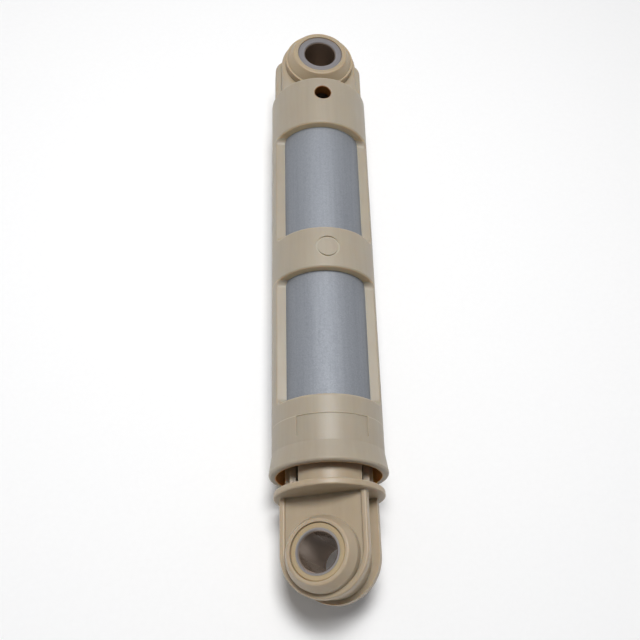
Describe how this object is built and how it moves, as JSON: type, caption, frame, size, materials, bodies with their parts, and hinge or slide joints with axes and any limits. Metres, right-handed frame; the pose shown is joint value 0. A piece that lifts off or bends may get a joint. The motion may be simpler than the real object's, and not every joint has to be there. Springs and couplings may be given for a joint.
{
  "type": "washing machine shock absorber",
  "caption": "Friction damper for a washing machine drum: a moulded piston with a stop flange slides in a steel-lined, windowed housing; each end has a sleeved pin eye.",
  "frame": {"origin": "middle of the pin bore in the housing's eye", "axes": "+Z along the housing's pin bore; -Y along the damper's long axis to the piston's eye; +X to the right seen from the piston's end"},
  "size_m": [0.0337, 0.1935, 0.0336],
  "materials": {
    "moulded_beige": "fine moulded satin",
    "moulded_beige_piston": "fine moulded satin",
    "galvanised_tube": "galvanised, fine grain",
    "sleeve_steel": "turned",
    "bush_tan": "satin",
    "lining_felt": "greased"
  },
  "bodies": {
    "housing": {"housing": "moulded_beige", "liner_tube": "galvanised_tube", "upper_eye_bush": "bush_tan", "upper_eye_sleeve": "sleeve_steel"},
    "lining": {"friction_lining": "lining_felt"},
    "piston": {"piston_rod": "moulded_beige_piston", "lower_eye_bush": "bush_tan", "lower_eye_sleeve": "sleeve_steel"}
  },
  "joints": [
    {"name": "piston_slide", "type": "slide", "parent": "housing", "child": "lining", "axis": [0, -1, 0], "range_m": [-0.004, 0.068]},
    {"name": "piston_twist", "type": "hinge", "parent": "lining", "child": "piston", "pos_m": [0, -0.0409, 0], "axis": [0, -1, 0], "continuous": true}
  ]
}
